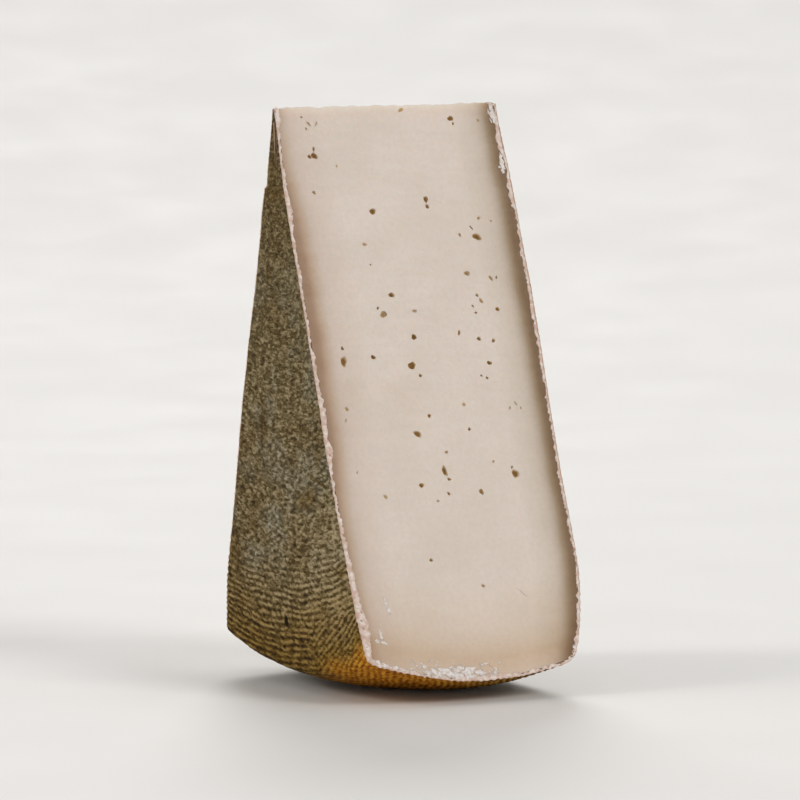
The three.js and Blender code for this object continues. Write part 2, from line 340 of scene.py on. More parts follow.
# The waves and the step, which act on a face and die away within a few millimetres of it.
NEAR_FACE, OFF_FACE = 1, 6
on_left = fall(across, NEAR_FACE, OFF_FACE)
on_right = rise(across, WHEEL_HEIGHT - OFF_FACE, WHEEL_HEIGHT - NEAR_FACE)
left_shift = FACE_WAVE * face_waves(radius, direction) + ledge_step(reach, direction)
right_shift = FACE_WAVE * on_right * face_waves(radius, direction + OTHER_FACE)
reach = reach + SIDE_WAVE * (radius / RIM_RADIUS) ** SIDE_POWER * side_waves(across, direction)
across = across + on_left * left_shift - right_shift
shell = stand(reach, direction, across)
outward = surface_normals(shell)
outward *= -np.sign(outward[left_rows // 2, SPREAD // 2, 0])
forward = reach * np.sin(direction)

# The print, first pulled out of true as cloth is, then laid on as height and as colour, whose light
# ribs and dark hollows are partly the crust's own colour and partly painted shade.
along = forward + uneven(2.2, forward, run, 17, 1) + uneven(1.1, forward, run, 4, 2)
down = run + uneven(1.6, forward, run, 21, 3) + uneven(0.9, forward, run, 6, 4)
down = down + uneven(0.45, along / 1.8, run, 1.9, 14)


def ribs_at(climb):
    """Ribs that climb towards the near cut by some degrees: a cosine across them."""
    turn = math.radians(climb)
    return np.cos(2 * math.pi * (down * math.cos(turn) + along * math.sin(turn)) / THREAD)


# Level ribs near the side, but climbing ones in its corner at the near cut and higher up in a
# patch at the far cut. Each stretch is given by where it starts and where it is full.
CORNER_RUN, CORNER_FORWARD = (127, 133), (13, 23)
PATCH_REACH, PATCH_END, PATCH_FORWARD = (95, 101), (112, 118), (-2, 8)
corner_share = rise(run + uneven(3, forward, run, 5, 21), *CORNER_RUN) * rise(forward, *CORNER_FORWARD)
patch_share = rise(reach + uneven(5, forward, run, 6, 22), *PATCH_REACH) * fall(reach, *PATCH_END)
patch_share = patch_share * fall(forward, *PATCH_FORWARD)
ribs = ribs_at(LEVEL_CLIMB) + corner_share * (ribs_at(STEEP_CLIMB) - ribs_at(LEVEL_CLIMB))
ribs = ribs + patch_share * (ribs_at(STEEP_CLIMB) - ribs)

# Beads along the ribs and the thread that crosses them, and above the ribs the grain, which
# takes up a little of them where the two meet. Rubbing left both uneven.
CROSSING_CLIMB, RIBS_IN_GRAIN, RIBS_OVER_GRAIN = -35, (66, 100), (98, 126)
beads = mottle(along / 1.9, down, 1.0, 11)
woven = (0.3 + 0.75 * beads) * ribs + 0.16 * ribs_at(CROSSING_CLIMB) + 0.75 * (beads - 0.5)
grain = 0.45 * worms(0.3 * along, down, 1.35, 5) + 0.45 * worms(0.28 * along, down, 0.9, 6)
grain += uneven(0.55, along / 3.2, down, 0.65, 15)
grain += rise(reach, *RIBS_IN_GRAIN) * (0.35 * ribs_at(8) * mottle(forward, run, 9, 12)
                                        + 0.3 * ribs_at(28) * mottle(forward, run, 7, 16))
ribbed = rise(reach + uneven(26, forward, run, 13, 7), *RIBS_OVER_GRAIN)
rubbed = uneven(1.7, forward / 2.4, run, 0.55, 8)
printed = (0.5 + 0.8 * mottle(forward, run, 3.2, 13)) * (ribbed * woven + (1 - ribbed) * grain)
printed = printed * (0.68 + 0.32 * ribbed) + (0.42 + 0.1 * ribbed) * rubbed

# The print is faint at the tip and gets stronger in two steps on the way down.
PRINT_AT_TIP, FIRST_STEP, SECOND_STEP, STRONGEST = 0.54, (40, 115), (118, 134), 1.6
printed *= PRINT_AT_TIP + 0.5 * rise(reach, *FIRST_STEP) + 0.08 * rise(reach, *SECOND_STEP)
printed = np.clip(printed, -STRONGEST, STRONGEST)
lumps = mottle(forward, run, 7, 9) + 0.5 * mottle(forward, run, 3, 10) - 0.75


def cloudy(size, seed):
    """Patches of a size with finer ones in their edges, 0 to 1: three mottles, each half as
    strong as the one before and less than half its size, over the sum of their strengths."""
    strengths = 0.5 ** np.arange(3)
    return sum(strength * mottle(forward, run, size / 2.3 ** k, seed + k)
               for k, strength in enumerate(strengths)) / strengths.sum()


def spot(at_forward, at_run, wide, high, seed):
    """A patch with a ragged, faint edge about a place: 1 inside an ellipse, 0 outside it."""
    ragged = 1.6 * (cloudy(6, seed) - 0.5)
    return fall(np.hypot((forward - at_forward) / wide, (run - at_run) / high) + ragged, 0.3, 1.4)


# Brown stains: faint near the tip, in clouds, as spots, and one as a short scratch. Each spot is
# the place forward and along the run, its half width and height, and its strength.
stain = 0.35 * fall(reach, 12, 60) + 0.45 * rise(cloudy(11, 40), 0.56, 0.78)
for number, (*ellipse, strength) in enumerate([
        (2, 21.5, 6, 2.6, 1.0), (-3, 42.5, 2.4, 3.4, 0.7), (-8, 83.5, 1.8, 5, 0.8), (17, 100, 8, 3, 1.0),
        (13, 82, 9, 1.4, 0.6), (-27, 115, 5, 6, 0.6), (-15, 109, 1.8, 1.8, 0.8), (34, 120, 4, 2, 0.8)]):
    stain = stain + strength * spot(*ellipse, 60 + 3 * number)
SCRATCH_AT, SCRATCH_SLOPE, HALF_WIDE, HALF_LONG = (22, 96), 0.5, 0.45, 5
beyond, below = forward - SCRATCH_AT[0], run - SCRATCH_AT[1]
scratch = (np.abs(below - SCRATCH_SLOPE * beyond) < HALF_WIDE) & (np.abs(beyond) < HALF_LONG)
stain = np.clip(stain + 0.9 * scratch, 0, 1)

# Grey bloom: in clouds over the middle of the face, and in spots.
greyed = 0.75 * rise(cloudy(9, 44), 0.44, 0.68) * rise(run, 24, 60) * fall(run, 100, 128)
for number, ellipse in enumerate([
        (19.5, 82, 4, 1.6), (29.5, 92.5, 4, 2.4), (-18, 96, 7, 4), (-4, 104, 6, 4), (-13, 117, 6, 4)]):
    greyed = greyed + 0.8 * spot(*ellipse, 90 + 3 * number)
greyed = np.clip(greyed, 0, 1)

# A pit, painted near-black in its middle as its shadow, with a small lump above it, and gold towards
# the side, to amber where it turns under: the gold is partly darkened as painted shade of the
# underside, and the amber brightened as painted light thrown up from below.
pit = np.exp(-(((forward - 2.5) / 0.85) ** 2 + ((run - 131) / 1.15) ** 2) ** 2)
pit_lump = np.exp(-((forward - 2.4) / 1.8) ** 2 - ((run - 128.6) / 1.0) ** 2)
golden = rise(reach + 8 * (cloudy(10, 52) - 0.5), 112, 144)
under_rim = rise(run + 0.25 * np.maximum(forward, 0) + 5 * (cloudy(7, 55) - 0.5), 144, 156)
under_rim = under_rim * rise(forward + 10 * (cloudy(9, 58) - 0.5), -16, 30) * fall(run, 154, 206)
golden = np.clip(0.5 * golden + 0.5 * golden * under_rim, 0, 1)

height = PRINT_DEPTH * printed + LUMP_DEPTH * lumps - PIT_DEPTH * pit + PIT_LUMP * pit_lump
shell = shell + outward * (height * rise(reach, 0, 5))[..., None]
shell[..., 2] = np.maximum(shell[..., 2], 0)

# The tone of the crust with its painted shade, 0 to 1 but far less in the pit, which is painted
# near-black as its shadow: what stands up is light and the hollows dark, partly the crust's own
# colour and partly painted shade, and the lower part of the face is lighter towards the near cut
# and darker in its corner, along its foot towards the far cut, as painted shade where it turns under.
USUAL_TONE, PRINT_AND_SHADE_CONTRAST, DARKEST = 0.42, 0.38, 0.07
tone_shift_and_shade = 0.03 * rise(run, 40, 80) + 0.03 * rise(reach, 90, 110)
tone_shift_and_shade += 0.1 * rise(forward, 0, 32) * rise(run, 85, 120)
# Painted shade: darker along the foot where the face turns under, most towards the far cut.
tone_shift_and_shade -= rise(run, 132, 146) * (0.04 + 0.13 * fall(forward, -20, 12))
tone_shift_and_shade += 0.02 * rise(reach, 100, 120) * rise(forward, 10, 30)
crust_tone_and_shade = np.clip(USUAL_TONE + tone_shift_and_shade + PRINT_AND_SHADE_CONTRAST * printed + 0.3 * pit_lump, DARKEST, 1) - 1.5 * pit

skin, shader = new_finish("rind")
tone_with_shade, stains, greys, golds, broken = (
    add_node(skin, "Attribute", attribute_name=name).outputs["Fac"]
    for name in ("crust_tone_and_shade", "stain", "greyed", "golden", "broken"))
speckle = patches(skin, 0.5, detail=4.0, stretch=(1, 0.5, 1))
wormy = patches(skin, 1.1, detail=2.0, stretch=(1, 0.4, 1), distortion=1.0)
fine = maths(skin, "MULTIPLY_ADD", speckle, 0.9, maths(skin, "SUBTRACT", tone_with_shade, 0.45))
fine = maths(skin, "MULTIPLY_ADD", remap(skin, wormy, 0.38, 0.62), 0.3, maths(
    skin, "SUBTRACT", fine, 0.15))


def toned(hollow, middle, raised):
    """A colour of the crust, from the shades of its hollows, of what is level and of its ribs;
    the dark hollows are partly painted shade.
    """
    return shades(skin, fine, (0.05, hollow), (0.42, middle), (0.95, raised))


# The crust's shades run from dark hollows to light ribs, partly its own colour and partly painted shade.
crust = toned((46, 33, 4), (101, 86, 54), (182, 165, 130))
ashen = toned((66, 58, 38), (106, 97, 74), (176, 168, 148))
crust = blend(skin, maths(skin, "MULTIPLY", greys, 0.9), crust, ashen)
brown = toned((40, 27, 0), (84, 64, 26), (140, 116, 72))
crust = blend(skin, maths(skin, "MULTIPLY", stains, 0.85), crust, brown)
# Gold of the crust, its own colour, with its shades kept dark partly as painted shade of the underside.
gold_and_shade = toned((40, 24, 0), (88, 63, 12), (156, 126, 62))
crust = blend(skin, maths(skin, "MULTIPLY", golds, 1.9, clamp=True), crust, gold_and_shade)
# Amber where the rind turns under: its own colour, brightened as painted light thrown up from below.
amber_with_bounce_light = toned((104, 53, 0), (166, 101, 6), (218, 157, 52))
amber_light_share = maths(skin, "MULTIPLY_ADD", golds, 2.2, -1.2, clamp=True)
crust = blend(skin, amber_light_share, crust, amber_with_bounce_light)
# Painted shadow: near-black where the tone falls below nought, which is only in the pit.
crust = blend(skin, remap(skin, tone_with_shade, -0.9, -0.25, 1.0, 0.0), crust, seen(16, 12, 5))
crust = blend(skin, remap(skin, broken, 0.02, 0.2), crust, seen(196, 166, 146))
set_finish(skin, shader, crust, remap(skin, speckle, 0.3, 0.7, 0.72, 0.92),
           maths(skin, "ADD", speckle, maths(skin, "MULTIPLY", wormy, 1.2)), 0.00022)
shader.inputs["Specular IOR Level"].default_value = 0.12


def rind_strip(name, first, last):
    """Rows first to last of the shell as a closed slab: the shell, a ring that turns inwards
    under its border, less deep at the tip, and a fan to one point behind its middle."""
    face, normal = shell[first:last], outward[first:last]
    rows = last - first
    border = np.concatenate([
        np.arange(SPREAD),
        np.arange(1, rows) * SPREAD + SPREAD - 1,
        (rows - 1) * SPREAD + np.arange(SPREAD - 2, -1, -1),
        np.arange(rows - 2, 0, -1) * SPREAD,
    ])
    face, normal = face.reshape(-1, 3), normal.reshape(-1, 3)
    middle = (rows // 2) * SPREAD + SPREAD // 2
    inward = unit(face[middle] - face[border])
    deeper = 0.45 + 0.55 * rise(reach[first:last].ravel()[border], 0, 7)
    ring = face[border] + RIND_DEPTH * deeper[:, None] * (inward - normal[border])
    behind = face[middle] - 1.5 * RIND_DEPTH * normal[middle]
    points = np.concatenate([face, ring, behind[None]])
    points[:, 2] = np.maximum(points[:, 2], 0)
    count, turned = len(face), np.roll(border, -1)
    under = count + np.arange(len(border))
    under_next = np.roll(under, -1)
    centre = np.full(len(border), count + len(border))
    cells = [grid_cells(rows, SPREAD), np.stack([turned, border, under, under_next], axis=-1),
             np.stack([under_next, under, centre], axis=-1)]
    marks = {key: np.concatenate([grid[first:last].ravel(), np.zeros(len(border) + 1)])
             for key, grid in (("crust_tone_and_shade", crust_tone_and_shade), ("stain", stain), ("greyed", greyed), ("golden", golden))}
    marks["broken"] = np.concatenate([np.zeros(count), np.ones(len(border) + 1)])
    make_piece(name, points, cells, skin, "rind", **marks)


rind_strip("rind_left", 0, left_rows + LEFT_STEPS)
rind_strip("rind_side", left_rows + LEFT_STEPS - 1, right_first - RIGHT_STEPS + 1)
rind_strip("rind_right", right_first - RIGHT_STEPS, len(shell))


# The paste
# The ripe, springy inside of the cheese. A wire or a long knife left two smooth cuts that
# meet in the tip edge, and opened the small eyes that gas had blown in it.
PASTE_INSET = 0.6         # the paste ends this deep under the rind's skin
PASTE_ROWS, PASTE_COLUMNS, PASTE_SPREAD = 230, 110, 9
LEFT_FADE, RIGHT_FADE = 22, 14   # how fast its bottom leaves the ends of the two faces
ABOVE_GROUND = 0.02
NICK_ACROSS, NICK_WIDE, NICK_DEEP = 13.5, 1.0, 0.6
ROUGH_REACH = 1.2         # the tip edge is rough this far down
TIP_MARGIN, LEFT_MARGIN, RIGHT_MARGIN = 4, 3, 4   # the cuts' swelling fades away over these
WELD_GAP = 0.002          # points nearer to each other than this become one


def outline_at(rows, columns, spread):
    """The shell without its print, as left side, right side and bottom of every cut through
    the tip edge, moved in by the paste's inset along the two normals."""
    turn = np.linspace(-FAR_CUT, NEAR_CUT, spread)[None, :]
    share = np.linspace(0, 1, rows)[:, None]
    sides = []
    for edge, across_of, sign in ((left_edge, left_across, 1), (right_edge[:, ::-1], right_across, -1)):
        half = len(edge[0]) // 2
        distance = share * reach_from_tip(turn, edge[0][half] - PASTE_INSET)
        ring = np.hypot(distance * np.sin(turn) - TIP_BEHIND, distance * np.cos(turn))
        place = across_of(ring) + sign * PASTE_INSET
        place += sign * FACE_WAVE * face_waves(ring, turn if sign > 0 else turn + OTHER_FACE)
        if sign > 0:
            place += ledge_step(distance, turn)
        sides.append((distance, place))
    (left_reach, left_place), (right_reach, right_place) = sides
    portion = np.linspace(0, 1, columns)[:, None]
    bottom_place = left_place[-1] + portion * (right_place[-1] - left_place[-1])
    bottom_radius = side_radius(bottom_place) - PASTE_INSET
    bottom_reach = reach_from_tip(turn, bottom_radius) + SIDE_WAVE * side_waves(bottom_place, turn)
    straight = left_reach[-1] + portion * (right_reach[-1] - left_reach[-1])
    excess = bottom_reach - straight
    bottom_reach -= excess[0] * np.exp(-portion * LEFT_FADE)
    bottom_reach -= excess[-1] * np.exp((portion - 1) * RIGHT_FADE)
    bottom_reach[0], bottom_reach[-1] = left_reach[-1], right_reach[-1]
    return turn, left_reach, left_place, right_reach, right_place, bottom_reach, bottom_place


def cut_sheet(outline, column):
    """One cut as a grid: straight across between its two sides, bent towards the side's
    curve by a power of the way down."""
    turn, left_reach, left_place, right_reach, right_place, bottom_reach, bottom_place = outline
    portion = np.linspace(0, 1, len(bottom_reach))[None, :]
    down = np.linspace(0, 1, len(left_reach))[:, None]
    left, right = left_reach[:, column, None], right_reach[:, column, None]
    reach = left + portion * (right - left)
    straight = reach[-1]
    reach = reach + down ** SIDE_POWER * (bottom_reach[:, column] - straight)
    left, right = left_place[:, column, None], right_place[:, column, None]
    return reach, left + portion * (right - left), turn[0, column]


def cut_points(column, seed):
    """A cut's grid in place: the tip edge is a little rough and has one nick, and the rest
    swells by up to a tenth of a millimetre where the knife slowed down."""
    reach, place, turn = cut_sheet(outline, column)
    rough = uneven(0.35, place, 0, 2.3, 40) + 0.25 * mottle(place, 0, 0.8, 41)
    rough += NICK_DEEP * np.exp(-(((place - NICK_ACROSS) / NICK_WIDE) ** 2))
    points = stand(reach, turn, place)
    points[..., 2] -= rough * np.exp(-reach / ROUGH_REACH)
    swelling = uneven(0.18, place, reach, 19, seed) + uneven(0.05, place, reach, 5, seed + 1)
    fade = rise(reach, 0, TIP_MARGIN) * rise(place, 0, LEFT_MARGIN)
    fade = fade * fall(place, WHEEL_HEIGHT - RIGHT_MARGIN, WHEEL_HEIGHT)
    points[..., 1] -= math.copysign(1, turn) * swelling * fade
    return points


outline = outline_at(PASTE_ROWS, PASTE_COLUMNS, PASTE_SPREAD)
near_cut, far_cut = cut_points(PASTE_SPREAD - 1, 50), cut_points(0, 54)
turn, left_reach, left_place, right_reach, right_place, bottom_reach, bottom_place = outline
left_hidden, right_hidden = stand(left_reach, turn, left_place), stand(right_reach, turn, right_place)
bottom_hidden = stand(bottom_reach, turn, bottom_place)
for hidden, near_border, far_border in (
        (left_hidden, near_cut[:, 0], far_cut[:, 0]),
        (right_hidden, near_cut[:, -1], far_cut[:, -1]),
        (bottom_hidden, near_cut[-1], far_cut[-1])):
    hidden[:, -1], hidden[:, 0] = near_border, far_border
left_hidden[0], right_hidden[0] = near_cut[0, 0], near_cut[0, -1]
bottom_hidden[0], bottom_hidden[-1] = left_hidden[-1], right_hidden[-1]
far_cut[0] = near_cut[0]

paste_sheets = [near_cut, far_cut, left_hidden, right_hidden, bottom_hidden]
paste_cells, first = [], 0
for sheet in paste_sheets:
    paste_cells.append(grid_cells(*sheet.shape[:2], first))
    first += sheet.shape[0] * sheet.shape[1]
paste_points = np.concatenate([sheet.reshape(-1, 3) for sheet in paste_sheets])
paste_points[:, 2] = np.maximum(paste_points[:, 2], ABOVE_GROUND)

# Eyes of the near cut: below the tip, across, radius, stretch, turn of the long way in degrees
# clockwise from straight across, and depth as a share of what is usual at that radius.
NEAR_EYES = np.array([
    [2.8, 8.1, 0.3, 1.2, 0, 0.6], [4.6, 9.8, 0.38, 2.4, 55, 0.5], [4.7, 11.9, 0.3, 2.6, 120, 0.4],
    [5.9, 8.9, 0.3, 1.5, 80, 0.6], [11.3, 10.1, 0.36, 1.6, 95, 1], [13.3, 8.6, 0.5, 1.1, 20, 1],
    [13.1, 10.0, 0.75, 1.3, 60, 1], [1.5, 37.0, 0.5, 1.6, 150, 0.6], [4.1, 51.1, 0.65, 1.4, 10, 1],
    [5.5, 51.6, 0.32, 1.2, 70, 1], [4.8, 59.1, 0.35, 1.2, 0, 0.6], [22.8, 8.2, 0.45, 1.2, 60, 0.7],
    [16.0, 15.9, 0.28, 1.3, 100, 0.6], [28.3, 24.0, 0.75, 1.1, 40, 1], [25.6, 39.9, 0.62, 1.4, 75, 1],
    [27.5, 40.0, 0.5, 1.2, 60, 1], [31.1, 54.4, 0.42, 1.2, 0, 0.7], [32.0, 57.8, 0.2, 1.3, 0, 1],
    [35.4, 48.0, 0.4, 1.3, 80, 0.6], [33.6, 51.7, 0.26, 2.6, 50, 1], [36.1, 52.9, 0.8, 1.5, 30, 1],
    [36.9, 20.1, 0.5, 1.3, 10, 0.5], [42.3, 20.9, 0.22, 1.2, 0, 1], [45.7, 48.2, 0.68, 1.2, 20, 0.6],
    [47.2, 54.9, 0.42, 2.0, 45, 0.7], [47.1, 56.6, 0.26, 1.8, 110, 1], [50.5, 25.4, 0.66, 1.1, 20, 1],
    [51.6, 50.1, 0.34, 1.6, 45, 1], [53.1, 51.0, 0.42, 1.9, 50, 0.7], [54.4, 48.3, 0.26, 1.8, 60, 1],
    [56.2, 48.9, 0.3, 1.4, 40, 1], [55.5, 55.4, 0.52, 1.3, 60, 1], [55.5, 22.2, 0.98, 1.12, 0, 0.45],
    [53.8, 20.9, 0.3, 1.6, 130, 1], [55.0, 31.2, 0.5, 1.3, 0, 0.5], [61.8, 29.8, 0.72, 1.15, 10, 1],
    [61.3, 43.0, 0.34, 2.3, 110, 1], [63.1, 48.5, 0.52, 1.15, 0, 1], [63.8, 52.6, 0.42, 1.3, 100, 1],
    [63.8, 9.0, 0.4, 1.3, 70, 1], [67.2, 8.8, 0.75, 1.7, 88, 1], [66.5, 17.3, 0.58, 1.15, 20, 1],
    [69.2, 27.9, 0.96, 1.1, 30, 1], [71.9, 29.9, 0.42, 1.3, 30, 1], [69.6, 50.3, 0.55, 1.3, 30, 1],
    [72.8, 47.4, 0.26, 1.6, 40, 1], [73.5, 48.9, 0.36, 1.2, 80, 1], [79.5, 7.5, 0.48, 1.2, 60, 0.6],
    [82.4, 6.7, 0.3, 1.8, 100, 0.5], [80.1, 40.9, 0.5, 1.15, 0, 0.5], [81.7, 54.0, 0.3, 1.8, 120, 0.5],
    [80.6, 55.9, 0.32, 2.2, 50, 0.4], [81.9, 57.2, 0.24, 1.8, 90, 0.5], [82.5, 30.5, 0.48, 1.1, 0, 1],
    [86.6, 41.3, 0.4, 1.1, 0, 1], [87.0, 26.3, 0.72, 1.4, 20, 1], [92.2, 33.6, 0.42, 1.2, 0, 0.6],
    [95.4, 46.6, 0.3, 1.7, 120, 0.6], [97.0, 32.2, 0.66, 1.8, 78, 1], [99.2, 33.1, 0.36, 1.5, 40, 1],
    [98.9, 52.4, 0.8, 1.5, 60, 1], [97.2, 51.7, 0.3, 1.4, 100, 1], [100.3, 25.0, 0.6, 1.2, 30, 1],
    [102.9, 32.3, 0.36, 1.4, 40, 1], [103.0, 41.7, 0.66, 1.15, 80, 0.7],
    [102.6, 14.3, 0.52, 1.2, 40, 0.5], [104.6, 28.9, 0.34, 1.4, 20, 0.6],
    [95.9, 7.5, 0.26, 1.8, 100, 0.5], [119.6, 24.2, 0.4, 1.2, 0, 1], [127.2, 37.7, 0.44, 1.2, 30, 0.6],
])
RIM_SHARE = 1.12          # an eye's mouth is wider than the dark part that shows
SHALLOWEST, DEEPER = 0.3, 0.65   # an eye's depth: this, and this much more a millimetre of radius
BOWL_POWER = 2.3
MOUTH_SUNK = 0.05         # the mouth lies this share of the depth under the cut


def seeded_draw(count, kinds, seed):
    """Rows of numbers from 0 to 1, one row to each kind: each state is the one before times
    a factor, less whole counts of the span."""
    factor, span = 16807, 2 ** 31 - 1
    numbers = []
    for _ in range(count * kinds):
        seed = seed * factor % span
        numbers.append(seed / span)
    return np.array(numbers).reshape(count, kinds).T


def drawn_eyes(count, seed, drop, margin, size, stretch):
    """Eyes of the far cut: the drop below the tip is a sum of two numbers, so most lie half-way
    down, and the place, the radius, the stretch and the turn go by one number each."""
    early, late, placed, sized, stretched, turned = seeded_draw(count, 6, seed)
    least, more, power = size
    return np.stack([
        RIM_RADIUS * (drop[0] + drop[1] * early + 0.4 * late),
        margin + (WHEEL_HEIGHT - 2 * margin) * placed,
        least + more * sized ** power,
        1 + stretch * stretched, 180 * turned, np.ones(count)], axis=-1)


# A third of the far cut's eyes are large.
FAR_EYES = np.concatenate([
    drawn_eyes(20, 11, drop=(0.05, 0.4), margin=7, size=(0.5, 0.7, 2), stretch=0.8),
    drawn_eyes(38, 61, drop=(0.03, 0.43), margin=6, size=(0.25, 0.3, 1), stretch=1.0),
])


def ball_angles(rings, spokes):
    """The angles of a ball's points: down from the pole for each ring, and round for each spoke."""
    spin = np.linspace(0, 2 * math.pi, spokes, endpoint=False)
    return np.linspace(0, math.pi, rings)[None, :, None], spin[None, None, :]


def cut_normal(cut):
    """The way straight out of a cut: to the front for the near one, whose angle is positive,
    and to the back for the far one."""
    facing = math.copysign(1, cut)
    return np.array([0.0, -facing * math.cos(cut), facing * math.sin(cut)])


def spread_on_cut(cut, drop, place, twist, long_way, short_way, depth):
    """Points about places on a cut: moved by the long way, which lies turned by twist in
    degrees, and by the short way at right angles to it, and sunk by the depth."""
    twist = np.radians(twist)
    place = place + long_way * np.cos(twist) - short_way * np.sin(twist)
    drop = drop + long_way * np.sin(twist) + short_way * np.cos(twist)
    return stand(drop, cut, place) - depth[..., None] * cut_normal(cut)


def eye_lumps(eyes, cut, seed):
    """Lumps that open the eyes: balls dented at random, stretched along the cut and turned in
    it, whose widest ring lies at the cut and whose bowl goes by a power of the cosine."""
    polar, spin = ball_angles(11, 18)
    phase = np.random.default_rng(seed).uniform(0, 2 * math.pi, (4, len(eyes), 1, 1))
    dent = 1 + np.sin(polar) * (
        0.12 * np.sin(2 * spin + phase[0]) + 0.09 * np.sin(3 * spin + phase[1])
        + 0.05 * np.sin(5 * spin + phase[2])) + 0.08 * np.sin(3 * polar + phase[3]) * np.sin(polar)
    drop, place, size, stretch, twist, share = (column[:, None, None] for column in eyes.T)
    size = RIM_SHARE * size
    long_way = size * stretch * dent * np.sin(polar) * np.cos(spin)
    short_way = size * dent * np.sin(polar) * np.sin(spin)
    bowl = np.sign(np.cos(polar)) * np.abs(np.cos(polar)) ** BOWL_POWER
    sunk_share = MOUTH_SUNK + (1 - MOUTH_SUNK) * share * bowl * np.ones_like(spin)
    depth = (SHALLOWEST + DEEPER * size) * sunk_share
    return spread_on_cut(cut, drop, place, twist, long_way, short_way, depth)


def ring_cells(points):
    """Corner numbers of the cells between closed rings of points, numbered in their order."""
    corner = np.arange(points[..., 0].size).reshape(points.shape[:-1])
    ahead = np.roll(corner, -1, axis=-1)
    ring = [corner[..., :-1, :], ahead[..., :-1, :], ahead[..., 1:, :], corner[..., 1:, :]]
    return np.stack(ring, axis=-1).reshape(-1, 4)


def squared(material, value):
    """The output of a number times itself."""
    return maths(material, "MULTIPLY", value, value)


def added(material, first, *others):
    """The output of a sum of several numbers."""
    for other in others:
        first = maths(material, "ADD", first, other)
    return first


# The place in the upright wheel, in millimetres: across it from the left face, and back and up
# from its centre.
inside, shader = new_finish("paste")
place = add_node(inside, "TexCoord").outputs["Object"]
in_wheel = add_node(inside, "Mapping", place, {
    "Scale": (1000, 1000, 1000),
    "Rotation": (0, LEAN, 0),
    "Location": (STANDS_AT[0] * math.cos(LEAN) + STANDS_AT[2] * math.sin(LEAN), STANDS_AT[1],
                 STANDS_AT[2] * math.cos(LEAN) - STANDS_AT[0] * math.sin(LEAN) - RIM_RADIUS),
}).outputs[0]
wheel_x, wheel_y, wheel_z = add_node(inside, "SeparateXYZ", in_wheel).outputs
from_centre = maths(inside, "SQRT", added(
    inside, squared(inside, wheel_y), squared(inside, wheel_z)))


def cut_depth(cut):
    """Depth under a cut in millimetres, from the place in the wheel."""
    _, back, up = cut_normal(cut)
    level = maths(inside, "MULTIPLY_ADD", wheel_y, -back, TIP_BEHIND * back)
    return maths(inside, "MULTIPLY_ADD", wheel_z, -up, level)


# Depths under the two faces and the side, from the curves of the rind. Under the faces they
# wobble, and are more or less than true where the dried paste is thinner or thicker.
wobble = maths(inside, "MULTIPLY_ADD", patches(inside, 14.0), 2.4, -1.2)
past_flat = maths(inside, "SUBTRACT", from_centre, FLAT_REACH)
shoulder = squared(inside, maths(inside, "MAXIMUM", past_flat, 0.0))
under_left = added(
    inside, wheel_x, wobble, remap(inside, from_centre, 50.0, 125.0, 0.0, 2.2),
    remap(inside, from_centre, 5.0, 45.0, 2.4, 0.0))
under_left = maths(inside, "MULTIPLY_ADD", shoulder, -1 / (2 * LEFT_SHOULDER), under_left)
under_right = added(
    inside, maths(inside, "SUBTRACT", WHEEL_HEIGHT, wheel_x), wobble,
    remap(inside, from_centre, 45.0, 120.0, 0.0, 0.4),
    remap(inside, from_centre, 10.0, 42.0, -0.6, 0.0))
under_right = maths(inside, "MULTIPLY_ADD", shoulder, -1 / (2 * RIGHT_SHOULDER), under_right)
bulge = squared(inside, maths(inside, "SUBTRACT", wheel_x, CREST_ACROSS))
under_side = maths(inside, "SUBTRACT", maths(
    inside, "MULTIPLY_ADD", bulge, -1 / (2 * SIDE_CURVE), RIM_RADIUS), from_centre)

PLAIN_PASTE = (220, 206, 194)


def drying(colour, depth, bands):
    """The paste's colour under dried rind: bands of depth in millimetres and the colour that
    plain paste turns there, laid on as a share of the plain colour."""
    full = bands[-1][0]
    share = maths(inside, "DIVIDE", depth, full, clamp=True)
    tint = shades(inside, share, *((at / full, shade) for at, shade in bands), over=PLAIN_PASTE)
    return blend(inside, 1.0, colour, tint, kind="MULTIPLY")


cloud = patches(inside, 16.0)
speck = patches(inside, 1.1, detail=5.0)
clouded = remap(inside, cloud, 0.35, 0.65)
body = blend(inside, clouded, seen(218, 205, 193), seen(222, 209, 198))
body = blend(inside, remap(inside, speck, 0.3, 0.75, 0.0, 0.3), body, seen(207, 192, 176))
body = drying(body, under_left, [
    (1.5, (152, 120, 92)), (2.6, (160, 128, 101)), (3.5, (176, 147, 123)), (4.5, (188, 163, 141)),
    (5.6, (198, 177, 159)), (6.7, (206, 188, 174)), (8.0, (210, 193, 180)), (11.0, (214, 198, 185)),
    (16.0, PLAIN_PASTE)])
body = drying(body, under_right, [
    (1.8, (122, 93, 61)), (2.6, (132, 104, 72)), (3.6, (151, 127, 99)), (4.7, (176, 157, 136)),
    (5.8, (193, 176, 160)), (7.0, (204, 188, 173)), (9.2, (211, 197, 183)), (14.0, PLAIN_PASTE)])
body = drying(body, under_side, [
    (1.0, (211, 187, 166)), (5.5, (205, 179, 153)), (9.8, (212, 192, 172)), (13.7, (217, 199, 183)),
    (18.0, (219, 203, 188)), (26.0, PLAIN_PASTE)])
# Inside the eyes the paste turns ochre and, deeper down, brown: partly their own colour and partly
# painted shade in the hollows.
sunk = maths(inside, "MINIMUM", cut_depth(NEAR_CUT), cut_depth(-FAR_CUT))
body = blend(inside, remap(inside, sunk, 0.03, 0.3), body, seen(192, 164, 122))
body = blend(inside, remap(inside, sunk, 0.22, 0.6), body, seen(146, 106, 50))
drag = patches(inside, 1.6, detail=4.0, stretch=(0.12, 1, 1))
gloss = remap(inside, drag, 0.3, 0.7, 0.44, 0.54)
set_finish(inside, shader, body, gloss, maths(
    inside, "MULTIPLY_ADD", drag, 0.4, speck), 0.0001)
shader.inputs["Specular IOR Level"].default_value = 0.35


